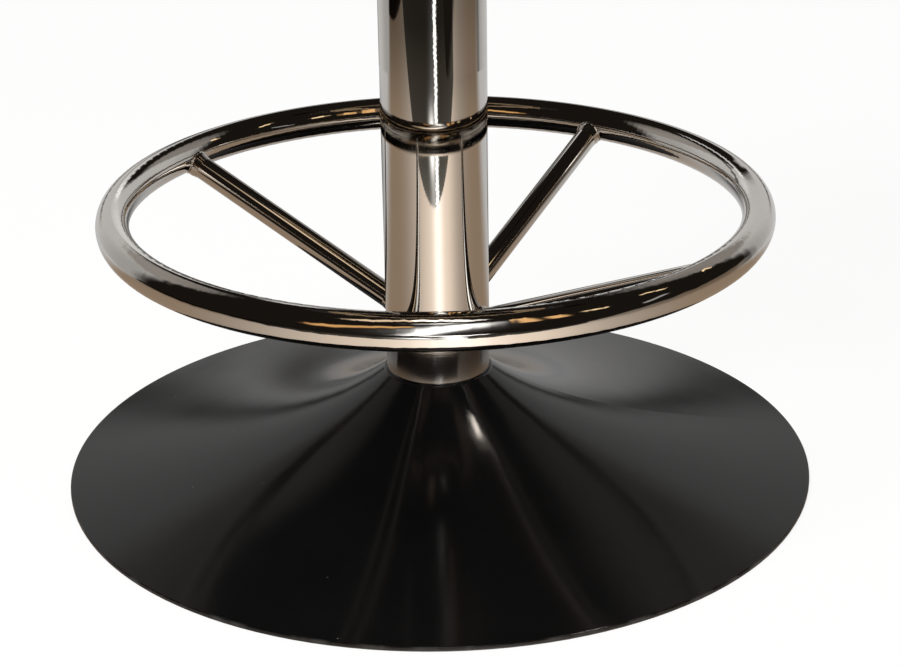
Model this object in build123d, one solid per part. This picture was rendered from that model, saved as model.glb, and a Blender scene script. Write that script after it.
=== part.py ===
from build123d import *
import math
import os

# Driving dimensions in millimetres, heights measured from the floor.

# Spun trumpet cover of the base.
BASE_DIAMETER = 508.0
BASE_SHEET = 2.0
BASE_FLARE = 110.0  # a smaller value turns the neck up more steeply
NECK_HEIGHT = 74.0
NECK_LEDGE = 2.0  # how far the neck stands out beyond the column
NECK_ROUND = 1.5
RIM_ROUND = 0.9
EDGE_TRIM_HEIGHT = 1.2
EDGE_TRIM_WIDTH = 14.0
EDGE_TRIM_INSET = 0.6

# Cast weight under the cover, its floor pad and the riser that carries the neck.
WEIGHT_MARGIN = 32.0  # from the rim in to the weight's edge
WEIGHT_TOP = 30.0
WEIGHT_GAP = 0.6  # between the weight and the cover
WEIGHT_SKIRT = 34.0  # width of the foot along the weight's edge
WEIGHT_FLOOR_GAP = 7.0  # underside inside the foot
WEIGHT_POCKET_ROOM = 8.5  # round the washer, for a socket spanner
FLOOR_PAD_HEIGHT = 1.2
FLOOR_PAD_WIDTH = 26.0
RISER_INSET = 5.0  # from the neck's inside corner in to the riser
RISER_WALL = 3.0
RISER_REGISTER = 2.0  # depth of the seat for the riser in the weight

# Column, its foot plug and the tie rod.
COLUMN_DIAMETER = 70.0
COLUMN_WALL = 2.0
COLUMN_TOP = 580.0
PLUG_HEIGHT = 14.0
PLUG_LEDGE = 11.0  # from the column's bore in to the spigot
SPIGOT_LENGTH = 8.0
TIE_ROD_DIAMETER = 12.0
TIE_ROD_END = 3.0  # rod beyond each nut
TIE_ROD_FLOOR_GAP = 2.0
TIE_ROD_NUT_WIDTH = 19.0
TIE_ROD_NUT_HEIGHT = 10.0
TIE_ROD_WASHER_DIAMETER = 37.0
TIE_ROD_WASHER_HEIGHT = 3.0

# Foot ring and its spokes.
RING_DIAMETER = 446.6
RING_TUBE_WIDTH = 21.8  # bending leaves the tube a little narrower than tall
RING_TUBE_HEIGHT = 23.6
RING_WALL = 1.5
RING_HEIGHT = 187.4
SPOKE_COUNT = 4
SPOKE_DIAMETER = 16.0
SPOKE_FOOT_HEIGHT = 112.8  # where the spoke's axis meets the column
SPOKE_DROP = 2.0  # from the ring's centre down to the spoke's axis
WELD_THROAT = 1.0  # how far a weld fillet widens the spoke
WELD_LEG = 5.0  # length of a weld fillet along the spoke
WELD_GAP = 0.05

# Swivel: a spindle in a taper roller bearing above and a plain bush below.
HOUSING_WALL = 3.0
HOUSING_LENGTH = 78.0
HOUSING_FLANGE = 5.0
BEARING_WIDTH = 16.0
BEARING_PROUD = 1.0  # how far the bearing stands out of the housing
CUP_WALL = 2.2
CUP_SHOULDER = 6.5
CONE_WALL = 2.3
CONE_ANGLE = 11.0  # degrees from the spindle to the inner raceway
ROLLER_MARGIN = 2.25  # from a roller's end to the bearing's face
ROLLER_SPACING = 1.0
ROLLER_CLEARANCE = 0.05
BUSH_WALL = 4.0
BUSH_LENGTH = 22.0
BUSH_FLANGE = 3.0
BUSH_FLANGE_HEIGHT = 2.5
SPINDLE_DIAMETER = 22.0
SPINDLE_COLLAR = 6.0  # how far the collar stands out of the spindle
SPINDLE_COLLAR_HEIGHT = 14.0
SPINDLE_END = 4.0
SPINDLE_NUT_WIDTH = 36.0
SPINDLE_NUT_HEIGHT = 14.0
SPINDLE_WASHER_DIAMETER = 42.0
SPINDLE_WASHER_HEIGHT = 3.0
CAP_SHEET = 1.5
CAP_ROUND = 3.0
CAP_GAP = 1.2  # running gap between the cap and the column
CAP_DROP = 28.0

# Seat plate, its fasteners and the seat board.
PLATE_MARGIN = 25.0  # round a bolt, out to the plate's edge
PLATE_THICKNESS = 5.0
BOLT_INSET = 77.3  # from the board's edge in to the bolt circle
BOLT_DIAMETER = 8.0
BOLT_HEAD_WIDTH = 13.0
BOLT_HEAD_HEIGHT = 5.3
BOLT_WASHER_DIAMETER = 17.0
BOLT_WASHER_HEIGHT = 1.6
BOLT_HOLE_CLEARANCE = 0.5
T_NUT_BARREL = 11.0
T_NUT_FLANGE_DIAMETER = 22.0
T_NUT_FLANGE_HEIGHT = 1.5
BOARD_THICKNESS = 18.0
BOARD_EDGE_ROUND = 2.0

# Upholstered cushion.
SEAT_DIAMETER = 380.0
CUSHION_HEIGHT = 85.0  # from the board's underside to the crown
SEAT_CROWN = 9.0  # rise of the top panel inside its shoulder
SEAT_SHOULDER = 40.0  # width of the rounded edge of the top panel
BAND_HEIGHT = 59.0  # from the board's underside to the seam
BAND_BULGE = 5.0
VINYL = 1.3
HEM_WIDTH = 32.0  # cover turned under the board
PIPING_DIAMETER = 7.0

# Fits between pieces.
PRESS_FIT = 0.02  # radial gap of pieces that are pressed, screwed or welded together
RUNNING_FIT = 0.05  # radial gap of a shaft that turns in its bush
END_PLAY = 0.3  # between a turning washer and what it faces
SLIP_FIT = 0.3  # radial gap of pieces that are dropped in
SOFT_GAP = 0.3  # between soft pieces

# Radii and heights that follow from the sizes above.
base_radius = BASE_DIAMETER / 2
column_radius = COLUMN_DIAMETER / 2
column_bore = column_radius - COLUMN_WALL
neck_radius = column_radius + NECK_LEDGE
neck_underside = NECK_HEIGHT - BASE_SHEET
riser_radius = neck_radius - BASE_SHEET - RISER_INSET
spigot_radius = column_bore - PLUG_LEDGE
weight_radius = base_radius - WEIGHT_MARGIN
tie_rod_radius = TIE_ROD_DIAMETER / 2
tie_rod_stack = TIE_ROD_WASHER_HEIGHT + TIE_ROD_NUT_HEIGHT
pocket_top = TIE_ROD_FLOOR_GAP + TIE_ROD_END + tie_rod_stack
pocket_radius = TIE_ROD_WASHER_DIAMETER / 2 + WEIGHT_POCKET_ROOM
plug_top = NECK_HEIGHT + PLUG_HEIGHT
ring_radius = (RING_DIAMETER - RING_TUBE_WIDTH) / 2
spoke_radius = SPOKE_DIAMETER / 2
housing_radius = column_bore - PRESS_FIT
bearing_seat = housing_radius - HOUSING_WALL
housing_top = COLUMN_TOP + HOUSING_FLANGE
housing_bottom = COLUMN_TOP - HOUSING_LENGTH
bearing_top = housing_top + BEARING_PROUD
bearing_bottom = bearing_top - BEARING_WIDTH
spindle_radius = SPINDLE_DIAMETER / 2
bush_bore = spindle_radius + RUNNING_FIT
bush_radius = bush_bore + BUSH_WALL
bush_foot = housing_bottom - BUSH_FLANGE_HEIGHT
spindle_washer_top = bush_foot - END_PLAY
spindle_washer_bottom = spindle_washer_top - SPINDLE_WASHER_HEIGHT
spindle_nut_bottom = spindle_washer_bottom - SPINDLE_NUT_HEIGHT
collar_radius = spindle_radius + SPINDLE_COLLAR
plate_bottom = bearing_top + SPINDLE_COLLAR_HEIGHT
plate_top = plate_bottom + PLATE_THICKNESS
board_bottom = plate_top
board_top = board_bottom + BOARD_THICKNESS
bolt_radius = BOLT_DIAMETER / 2
barrel_radius = T_NUT_BARREL / 2
flange_radius = T_NUT_FLANGE_DIAMETER / 2
seat_radius = SEAT_DIAMETER / 2
seam_radius = seat_radius - BAND_BULGE
foot_radius = seat_radius - BAND_BULGE
seat_top = board_bottom + CUSHION_HEIGHT
seam_height = board_bottom + BAND_HEIGHT
board_radius = foot_radius - VINYL - SOFT_GAP
bolt_spacing = math.sqrt(2) * (board_radius - BOLT_INSET)

# The flank of the base runs from the neck point down to the rim point.
neck_point = (neck_radius, NECK_HEIGHT - NECK_ROUND)
rim_point = (base_radius, EDGE_TRIM_HEIGHT + BASE_SHEET)


def turned(*edges):
    """Solid of revolution about Z from a closed outline in the XZ plane."""
    return revolve(make_face(edges), Axis.Z)


def outline(*points):
    """Straight edges through (r, z) points of the XZ plane."""
    return Polyline(*[(r, 0, z) for r, z in points]).edges()


def arc(start, middle, end):
    """Circular arc through three (r, z) points of the XZ plane."""
    return ThreePointArc(*[(r, 0, z) for r, z in (start, middle, end)])


def ring(outer, inner, bottom, top):
    """Plain ring about Z with square edges."""
    corners = ((inner, bottom), (outer, bottom), (outer, top), (inner, top), (inner, bottom))
    return turned(*outline(*corners))


def disc(radius, bottom, top):
    """Plain round disc or rod about Z."""
    return Pos(0, 0, bottom) * Cylinder(radius, top - bottom, align=(Align.CENTER, Align.CENTER, Align.MIN))


def hexagon(width, bottom, top):
    """Hexagonal prism about Z with its corners taken off at both ends."""
    corner = width / math.sqrt(3)
    prism = Pos(0, 0, bottom) * extrude(RegularPolygon(width / 2, 6, major_radius=False), top - bottom)
    blank = disc(corner, bottom, top)
    return prism & chamfer(blank.edges().filter_by(GeomType.CIRCLE), corner - width / 2)


def flank_height(high, low, radius):
    """Height at a radius on the hyperbola z = c + k / (r + BASE_FLARE) through two (r, z) points."""
    reach = [1 / (r + BASE_FLARE) for r in (high[0], low[0], radius)]
    share = (reach[2] - reach[1]) / (reach[0] - reach[1])
    return low[1] + share * (high[1] - low[1])


def flank_curve(high, low):
    """The same hyperbola between its two points, as one conic arc."""
    near = high[0] + BASE_FLARE
    far = low[0] + BASE_FLARE
    knee_radius = 2 * near * far / (near + far) - BASE_FLARE
    knee_height = low[1] + (high[1] - low[1]) * near / (near + far)
    weight = (near + far) / (2 * math.sqrt(near * far))
    knee = (knee_radius, 0, knee_height)
    return Bezier((high[0], 0, high[1]), knee, (low[0], 0, low[1]), weights=[1, weight, 1])


# Underside of the cover's sheet: the neck point moved in by the sheet, and the trim's top at the rim.
neck_slope = (neck_point[1] - rim_point[1]) * (base_radius + BASE_FLARE)
neck_slope = neck_slope / (neck_radius + BASE_FLARE) / (base_radius - neck_radius)
inner_neck_point = (neck_radius, neck_point[1] - BASE_SHEET * math.hypot(1, neck_slope))
inner_rim_point = (base_radius, EDGE_TRIM_HEIGHT)


def make_base_cover():
    """Spun trumpet of even sheet with a rolled lip and an inward flange at the neck."""
    hole = spigot_radius + SLIP_FIT
    lip_centre = (neck_radius - NECK_ROUND, NECK_HEIGHT - NECK_ROUND)
    lip_reach = NECK_ROUND / math.sqrt(2)
    lip_middle = (lip_centre[0] + lip_reach, lip_centre[1] + lip_reach)
    lip_top = (lip_centre[0], NECK_HEIGHT)
    flange = outline(
        lip_top,
        (hole, NECK_HEIGHT),
        (hole, neck_underside),
        (neck_radius - BASE_SHEET, neck_underside),
        inner_neck_point,
    )
    cover = turned(
        flank_curve(neck_point, rim_point),
        arc(neck_point, lip_middle, lip_top),
        *flange,
        flank_curve(inner_neck_point, inner_rim_point),
        *outline(inner_rim_point, rim_point),
    )
    rim = cover.edges().filter_by(GeomType.CIRCLE).sort_by(lambda edge: edge.radius)[-2:].sort_by(Axis.Z)[-1]
    return fillet(rim, RIM_ROUND)


def make_edge_trim():
    """Flat ring between the cover's rim and the floor."""
    outer = base_radius - EDGE_TRIM_INSET
    return ring(outer, outer - EDGE_TRIM_WIDTH, 0, EDGE_TRIM_HEIGHT)


def make_base_weight():
    """Cast weight whose top follows the cover, hollowed underneath inside its foot."""
    edge_height = flank_height(inner_neck_point, inner_rim_point, weight_radius) - WEIGHT_GAP
    edge = (weight_radius, edge_height)
    peak = (neck_radius, inner_neck_point[1] - WEIGHT_GAP)
    foot_inside = weight_radius - WEIGHT_SKIRT
    casting = turned(
        flank_curve(peak, edge),
        *outline(
            edge,
            (weight_radius, FLOOR_PAD_HEIGHT),
            (foot_inside, FLOOR_PAD_HEIGHT),
            (foot_inside - WEIGHT_FLOOR_GAP, WEIGHT_FLOOR_GAP),
            (0, WEIGHT_FLOOR_GAP),
            (0, peak[1]),
            peak,
        ),
    )
    casting -= disc(weight_radius, WEIGHT_TOP, NECK_HEIGHT)
    casting -= disc(riser_radius + SLIP_FIT, WEIGHT_TOP - RISER_REGISTER, WEIGHT_TOP)
    casting -= disc(pocket_radius, 0, pocket_top)
    return casting - disc(tie_rod_radius + SLIP_FIT, 0, WEIGHT_TOP)


def make_floor_pad():
    """Rubber ring under the weight's foot."""
    return ring(weight_radius, weight_radius - FLOOR_PAD_WIDTH, 0, FLOOR_PAD_HEIGHT)


def make_base_riser():
    """Tube from the weight up to the underside of the neck."""
    return ring(riser_radius, riser_radius - RISER_WALL, WEIGHT_TOP - RISER_REGISTER, neck_underside)


def make_column_tube():
    """Plain polished tube."""
    return ring(column_radius, column_bore, NECK_HEIGHT, COLUMN_TOP)


def make_column_plug():
    """Round plug in the column's foot with a spigot through the neck."""
    plug = disc(column_bore - PRESS_FIT, NECK_HEIGHT, plug_top)
    plug += disc(spigot_radius, NECK_HEIGHT - SPIGOT_LENGTH, NECK_HEIGHT)
    return plug - disc(tie_rod_radius + SLIP_FIT, 0, plug_top)


def make_tie_rod():
    """Rod from below the lower nut to above the upper nut."""
    return disc(tie_rod_radius, TIE_ROD_FLOOR_GAP, plug_top + tie_rod_stack + TIE_ROD_END)


def make_washer(diameter, hole, bottom, top):
    """Plain round washer about Z."""
    return ring(diameter / 2, hole + PRESS_FIT, bottom, top)


def make_nut(width, hole, bottom, top):
    """Hexagon nut about Z."""
    return hexagon(width, bottom, top) - disc(hole + PRESS_FIT, bottom, top)


def ring_bar(grown):
    """Full ring with the oval section of the bent tube, grown all round."""
    centre = Plane((ring_radius, 0, RING_HEIGHT), x_dir=(1, 0, 0), z_dir=(0, -1, 0))
    section = Ellipse(RING_TUBE_WIDTH / 2 + grown, RING_TUBE_HEIGHT / 2 + grown)
    return revolve(centre * section, Axis.Z)


def make_foot_ring():
    """Tube bent to a full circle, slightly oval from the bending."""
    return ring_bar(0) - ring_bar(-RING_WALL)


def make_spokes():
    """Round bars coped to the ring and the column, widened to a weld fillet at each end."""
    run = ring_radius - column_radius
    rise = RING_HEIGHT - SPOKE_DROP - SPOKE_FOOT_HEIGHT
    length = math.hypot(run, rise)
    weld_radius = spoke_radius + WELD_THROAT
    ring_weld = length - RING_TUBE_WIDTH / 2
    corners = (
        (0, -weld_radius),
        (weld_radius, -weld_radius),
        (weld_radius, 0),
        (spoke_radius, WELD_LEG),
        (spoke_radius, ring_weld - WELD_LEG),
        (weld_radius, ring_weld),
        (weld_radius, length),
        (0, length),
        (0, -weld_radius),
    )
    along = Plane((column_radius, 0, SPOKE_FOOT_HEIGHT), x_dir=(0, 1, 0), z_dir=(run, 0, rise))
    spoke = along * turned(*outline(*corners))
    spoke -= ring_bar(WELD_GAP)
    spoke -= disc(column_radius + WELD_GAP, 0, COLUMN_TOP)
    step = 360 / SPOKE_COUNT
    return [Rot(0, 0, (number + 0.5) * step) * spoke for number in range(SPOKE_COUNT)]


# Raceways of the bearing, standing on z = 0 with the common apex of its cones below it.
cup_outer = bearing_seat - PRESS_FIT
cone_bore = spindle_radius + PRESS_FIT
cone_small = spindle_radius + CONE_WALL
cup_large = cup_outer - CUP_WALL
cone_slope = math.tan(math.radians(CONE_ANGLE))
apex_depth = cone_small / cone_slope
cup_slope = cup_large / (apex_depth + BEARING_WIDTH)
cup_small = apex_depth * cup_slope
cone_large = (apex_depth + BEARING_WIDTH) * cone_slope
roller_tilt = (math.atan(cup_slope) + math.atan(cone_slope)) / 2
roller_taper = math.tan((math.atan(cup_slope) - math.atan(cone_slope)) / 2)
pitch_radius = (apex_depth + BEARING_WIDTH / 2) * math.tan(roller_tilt)


def make_cup():
    """Outer race with a conical raceway, wide end up."""
    corners = (
        (cup_small, 0),
        (cup_outer, 0),
        (cup_outer, BEARING_WIDTH),
        (cup_large, BEARING_WIDTH),
        (cup_small, 0),
    )
    return turned(*outline(*corners))


def make_cone():
    """Inner race with a conical raceway, wide end up."""
    corners = (
        (cone_bore, 0),
        (cone_small, 0),
        (cone_large, BEARING_WIDTH),
        (cone_bore, BEARING_WIDTH),
        (cone_bore, 0),
    )
    return turned(*outline(*corners))


def make_rollers():
    """Full set of taper rollers whose axes meet at the apex."""
    middle = (apex_depth + BEARING_WIDTH / 2) / math.cos(roller_tilt)
    length = BEARING_WIDTH - 2 * ROLLER_MARGIN
    near = middle - length / 2
    far = middle + length / 2
    small = near * roller_taper - ROLLER_CLEARANCE
    large = far * roller_taper - ROLLER_CLEARANCE
    frustum = Cone(small, large, length, align=(Align.CENTER, Align.CENTER, Align.MIN))
    direction = (math.sin(roller_tilt), 0, math.cos(roller_tilt))
    axis = Plane((0, 0, -apex_depth), x_dir=(0, 1, 0), z_dir=direction)
    roller = axis * Pos(0, 0, near) * frustum
    width = 2 * middle * roller_taper + ROLLER_SPACING
    count = int(math.pi / math.asin(width / (2 * pitch_radius)))
    return Compound([Rot(0, 0, number * 360 / count) * roller for number in range(count)])


def make_bearing_housing():
    """Sleeve in the column with a flange on the column's end, a cup seat above and a bush seat below."""
    housing = disc(housing_radius, housing_bottom, COLUMN_TOP) + disc(column_radius, COLUMN_TOP, housing_top)
    housing -= disc(bearing_seat, bearing_bottom, housing_top)
    housing -= disc(bearing_seat - CUP_SHOULDER, housing_bottom + BUSH_LENGTH, bearing_bottom)
    return housing - disc(bush_radius + PRESS_FIT, housing_bottom, housing_bottom + BUSH_LENGTH)


def make_lower_bush():
    """Flanged plain bush in the housing's foot."""
    bush = disc(bush_radius, housing_bottom, housing_bottom + BUSH_LENGTH)
    bush += disc(bush_radius + BUSH_FLANGE, bush_foot, housing_bottom)
    return bush - disc(bush_bore, bush_foot, housing_bottom + BUSH_LENGTH)


def make_spindle():
    """Shaft with a collar on the bearing's cone and a pilot through the seat plate."""
    foot = spindle_nut_bottom - SPINDLE_END
    return disc(spindle_radius, foot, plate_top) + disc(collar_radius, bearing_top, plate_bottom)


def make_swivel_cap():
    """Turned cap on the collar that hangs over the column's end."""
    inner = column_radius + CAP_GAP
    roof = plate_bottom - CAP_SHEET
    shell = disc(inner + CAP_SHEET, plate_bottom - CAP_DROP, plate_bottom)
    shell = fillet(shell.edges().sort_by(Axis.Z)[-1], CAP_ROUND)
    shell -= disc(inner, plate_bottom - CAP_DROP, roof)
    return shell - disc(collar_radius + PRESS_FIT, roof, plate_bottom)


def at_bolts(piece):
    """Copies of a piece at the four seat bolts."""
    places = GridLocations(bolt_spacing, bolt_spacing, 2, 2)
    return Compound([place * piece for place in places])


def make_seat_plate():
    """Square plate with its corners rounded about the bolts, welded round the spindle's pilot."""
    side = bolt_spacing + 2 * PLATE_MARGIN
    plate = Pos(0, 0, plate_bottom) * extrude(RectangleRounded(side, side, PLATE_MARGIN), PLATE_THICKNESS)
    plate -= disc(spindle_radius + PRESS_FIT, plate_bottom, plate_top)
    return plate - at_bolts(disc(bolt_radius + BOLT_HOLE_CLEARANCE, plate_bottom, plate_top))


def make_seat_bolts():
    """Hexagon bolts from below through the plate into the T-nuts."""
    seat = plate_bottom - BOLT_WASHER_HEIGHT
    head = hexagon(BOLT_HEAD_WIDTH, seat - BOLT_HEAD_HEIGHT, seat)
    return at_bolts(head + disc(bolt_radius, seat, board_top))


def make_t_nuts():
    """Flanged barrels let into the board from above."""
    nut = disc(barrel_radius, board_bottom, board_top)
    nut += disc(flange_radius, board_top - T_NUT_FLANGE_HEIGHT, board_top)
    return at_bolts(nut - disc(bolt_radius + PRESS_FIT, board_bottom, board_top))


def make_seat_board():
    """Round plywood board with recessed holes for the T-nuts."""
    board = disc(board_radius, board_bottom, board_top)
    board = fillet(board.edges().sort_by(Axis.Z)[0], BOARD_EDGE_ROUND)
    hole = disc(barrel_radius + PRESS_FIT, board_bottom, board_top)
    hole += disc(flange_radius + PRESS_FIT, board_top - T_NUT_FLANGE_HEIGHT, board_top)
    return board - at_bolts(hole)


def crown_curves(inset):
    """Crown and rounded shoulder of the top panel, from the middle out to the seam."""
    top = (0, 0, seat_top - inset)
    shoulder = (seam_radius - SEAT_SHOULDER, 0, seat_top - SEAT_CROWN - inset)
    crown = TangentArc(top, shoulder, tangent=(1, 0, 0))
    return crown, TangentArc(shoulder, (seam_radius - inset, 0, seam_height), tangent=crown % 1)


# The side band leaves the board's rounded lower edge and bulges up to the seam.
band_foot = board_bottom + BOARD_EDGE_ROUND
band_middle = (band_foot + seam_height) / 2


def band_curve(inset):
    """Bulging side of the cushion, from the board's edge up to the seam."""
    start = (foot_radius - inset, band_foot)
    middle = (seat_radius - inset, band_middle)
    return arc(start, middle, (seam_radius - inset, seam_height))


def make_seat_foam():
    """Crowned foam pad with bulging sides, flat on the board."""
    inset = VINYL + SOFT_GAP
    axis = outline((foot_radius - inset, band_foot), (0, band_foot), (0, seat_top - inset))
    pad = turned(*crown_curves(inset), band_curve(inset), *axis)
    return pad - disc(seat_radius, band_foot, board_top)


def make_seat_top_panel():
    """Vinyl top panel, crowned, with its edge at the seam."""
    seam = outline((seam_radius, seam_height), (seam_radius - VINYL, seam_height))
    middle = outline((0, seat_top - VINYL), (0, seat_top))
    return turned(*crown_curves(0), *seam, *crown_curves(VINYL), *middle)


def turn_under(inset):
    """Quarter turn of the cover round the board's lower edge, from the side to the hem."""
    radius = BOARD_EDGE_ROUND + SOFT_GAP + VINYL - inset
    centre_radius = foot_radius - inset - radius
    reach = radius / math.sqrt(2)
    side = (centre_radius + radius, band_foot)
    middle = (centre_radius + reach, band_foot - reach)
    return arc(side, middle, (centre_radius, band_foot - radius))


def make_seat_side_band():
    """Vinyl side band from the seam down and under the board to its stapled hem."""
    seam = outline((seam_radius - VINYL, seam_height), (seam_radius, seam_height))
    outer = turn_under(0)
    inner = turn_under(VINYL)
    edge = foot_radius - HEM_WIDTH
    top = board_bottom - SOFT_GAP
    turn_end = foot_radius - VINYL - BOARD_EDGE_ROUND - SOFT_GAP
    hem = outline((turn_end, top - VINYL), (edge, top - VINYL), (edge, top), (turn_end, top))
    return turned(band_curve(0), outer, *hem, inner, band_curve(VINYL), *seam)


def make_seat_piping():
    """Round piping along the seam, clear of the band that bulges below it."""
    lean = 2 * math.atan(BAND_BULGE / (seam_height - band_middle))
    reach = (PIPING_DIAMETER / 2 + SOFT_GAP) / math.cos(lean)
    return Pos(0, 0, seam_height) * Torus(seam_radius + reach, PIPING_DIAMETER / 2)


lower_washer_bottom = pocket_top - TIE_ROD_WASHER_HEIGHT
upper_washer_top = plug_top + TIE_ROD_WASHER_HEIGHT
bolt_washer_bottom = plate_bottom - BOLT_WASHER_HEIGHT
bearing_place = Pos(0, 0, bearing_bottom)
bolt_washer = make_washer(BOLT_WASHER_DIAMETER, bolt_radius, bolt_washer_bottom, plate_bottom)

pieces = {
    "base_cover": make_base_cover(),
    "edge_trim": make_edge_trim(),
    "base_weight": make_base_weight(),
    "floor_pad": make_floor_pad(),
    "base_riser": make_base_riser(),
    "column_tube": make_column_tube(),
    "column_plug": make_column_plug(),
    "tie_rod": make_tie_rod(),
    "tie_rod_lower_washer": make_washer(
        TIE_ROD_WASHER_DIAMETER, tie_rod_radius, lower_washer_bottom, pocket_top
    ),
    "tie_rod_lower_nut": make_nut(
        TIE_ROD_NUT_WIDTH, tie_rod_radius, pocket_top - tie_rod_stack, lower_washer_bottom
    ),
    "tie_rod_upper_washer": make_washer(
        TIE_ROD_WASHER_DIAMETER, tie_rod_radius, plug_top, upper_washer_top
    ),
    "tie_rod_upper_nut": make_nut(
        TIE_ROD_NUT_WIDTH, tie_rod_radius, upper_washer_top, plug_top + tie_rod_stack
    ),
    "foot_ring": make_foot_ring(),
    "bearing_housing": make_bearing_housing(),
    "bearing_cup": bearing_place * make_cup(),
    "bearing_cone": bearing_place * make_cone(),
    "bearing_rollers": bearing_place * make_rollers(),
    "lower_bush": make_lower_bush(),
    "spindle": make_spindle(),
    "spindle_washer": make_washer(
        SPINDLE_WASHER_DIAMETER, spindle_radius, spindle_washer_bottom, spindle_washer_top
    ),
    "spindle_nut": make_nut(
        SPINDLE_NUT_WIDTH, spindle_radius, spindle_nut_bottom, spindle_washer_bottom
    ),
    "swivel_cap": make_swivel_cap(),
    "seat_plate": make_seat_plate(),
    "seat_bolts": make_seat_bolts(),
    "seat_bolt_washers": at_bolts(bolt_washer),
    "t_nuts": make_t_nuts(),
    "seat_board": make_seat_board(),
    "seat_foam": make_seat_foam(),
    "seat_top_panel": make_seat_top_panel(),
    "seat_side_band": make_seat_side_band(),
    "seat_piping": make_seat_piping(),
}
for number, spoke in enumerate(make_spokes(), start=1):
    pieces[f"spoke_{number}"] = spoke

os.makedirs("parts", exist_ok=True)
for name, piece in pieces.items():
    export_step(piece, f"parts/{name}.step")
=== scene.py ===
# %% [markdown]
# # A bar stool with a foot ring
# The solids of the stool come packed from the CAD side, in metres, standing on the floor with the column's
# axis on Z. This script leaves them where they are, gives every one that shows a finish, and adds what a
# solid modeller leaves out: weld beads, the soft seat with its piping and stitches, and the staples under
# it.

import bmesh
import bpy
import numpy as np
from mathutils import Matrix, Vector


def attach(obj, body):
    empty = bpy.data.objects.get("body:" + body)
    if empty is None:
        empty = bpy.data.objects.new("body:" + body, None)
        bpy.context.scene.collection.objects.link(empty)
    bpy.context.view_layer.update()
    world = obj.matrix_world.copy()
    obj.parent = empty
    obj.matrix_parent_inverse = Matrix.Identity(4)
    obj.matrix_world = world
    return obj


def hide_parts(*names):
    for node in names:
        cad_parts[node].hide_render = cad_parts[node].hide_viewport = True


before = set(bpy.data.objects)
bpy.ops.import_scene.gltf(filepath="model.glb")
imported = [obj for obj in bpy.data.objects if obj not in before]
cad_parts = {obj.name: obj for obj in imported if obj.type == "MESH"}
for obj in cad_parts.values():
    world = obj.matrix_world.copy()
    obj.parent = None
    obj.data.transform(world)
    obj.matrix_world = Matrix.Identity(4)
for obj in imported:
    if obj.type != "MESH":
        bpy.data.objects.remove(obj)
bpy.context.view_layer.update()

# %% [markdown]
# ## The camera
# The picture was taken from in front of the stool, looking down at its foot. A camera could be placed by
# eye, but a place, three angles and a lens worked out from the base rim, the foot ring and the column
# repeat the view closely. The stool stands turned by a few degrees to the lens, so the studio is described
# as the lens sees it (x to the right, y away from the lens) and then turned into the stool's own frame.

# %% Directions of the lens
STUDIO_TURN = np.radians(-11)


def turned(points):
    """Points turned about the column: x cos t - y sin t and x sin t + y cos t, with the height kept."""
    cos, sin = np.cos(STUDIO_TURN), np.sin(STUDIO_TURN)
    return np.asarray(points) @ np.array([[cos, sin, 0], [-sin, cos, 0], [0, 0, 1]])


def look(yaw, pitch, roll):
    """Right, up and forward of a lens: forward from yaw and pitch, right kept level, both then rolled."""
    forward = np.array([np.sin(yaw) * np.cos(pitch), np.cos(yaw) * np.cos(pitch), -np.sin(pitch)])
    level = np.cross(forward, [0, 0, 1])
    level /= np.linalg.norm(level)
    upright = np.cross(level, forward)
    right = level * np.cos(roll) + upright * np.sin(roll)
    return right, upright * np.cos(roll) - level * np.sin(roll), forward


# %% Camera in place
LENS_PLACE = np.array([0, -1.3605, 0.6749])
LENS_YAW, LENS_PITCH, LENS_ROLL = 0.0061, 0.4022, -0.0152
FOCAL_LENGTH, SENSOR_WIDTH = 87.084, 36  # both in millimetres, as Blender's cameras count
NEAREST, FARTHEST = 0.05, 60
right, up, forward = look(LENS_YAW, LENS_PITCH, LENS_ROLL)
lens = bpy.data.cameras.new("photo_lens")
lens.lens, lens.sensor_width, lens.sensor_fit = FOCAL_LENGTH, SENSOR_WIDTH, "HORIZONTAL"
lens.clip_start, lens.clip_end = NEAREST, FARTHEST
camera = bpy.data.objects.new("photo_camera", lens)
bpy.context.scene.collection.objects.link(camera)
pose = np.eye(4)
pose[:3] = turned([right, up, -forward, LENS_PLACE]).T
camera.matrix_world = Matrix(pose.tolist())
bpy.context.scene.camera = camera
bpy.context.scene.view_settings.view_transform = "Standard"
print("camera at", np.round(pose[:3, 3], 3))

# %% [markdown]
# ## Surfaces from grids
# Turned, bent and sewn pieces are all surfaces with two directions, such as round the seat and across the
# band. Each is worked out as one numpy array of points, rows by columns, and this helper joins neighbours
# into faces. It also measures the volume that the faces enclose, and turns them outwards when that comes
# out negative.

# %% Grid helper
SAME_PLACE = 1e-6


def grid_mesh(name, points, wrap_rows=False, wrap_columns=True, capped=False, sewn=False):
    """Faces between neighbours of equal grids (copies, rows, columns, xyz), closed where they wrap.

    Capped closes a tube's two ends, and sewn joins the points of two sheets that lie in the same place.
    """
    points = np.asarray(points, dtype=float)
    points = points.reshape(-1, *points.shape[-3:])
    index = np.arange(points[..., 0].size).reshape(points.shape[:3])
    across, along = np.roll(index, -1, axis=2), np.roll(index, -1, axis=1)
    quads = np.stack([index, across, np.roll(along, -1, axis=2), along], axis=-1)
    quads = quads if wrap_rows else quads[:, :-1]
    quads = quads if wrap_columns else quads[:, :, :-1]
    faces = quads.reshape(-1, 4).tolist()
    if capped:
        faces += index[:, 0, ::-1].tolist() + index[:, -1].tolist()
    mesh = bpy.data.meshes.new(name)
    mesh.from_pydata(points.reshape(-1, 3).tolist(), [], faces)
    if sewn:
        work = bmesh.new()
        work.from_mesh(mesh)
        bmesh.ops.remove_doubles(work, verts=work.verts, dist=SAME_PLACE)
        work.to_mesh(mesh)
        work.free()
    if enclosed(mesh) < 0:
        mesh.flip_normals()
    mesh.shade_smooth()
    return mesh


# %% Mesh helpers


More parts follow.
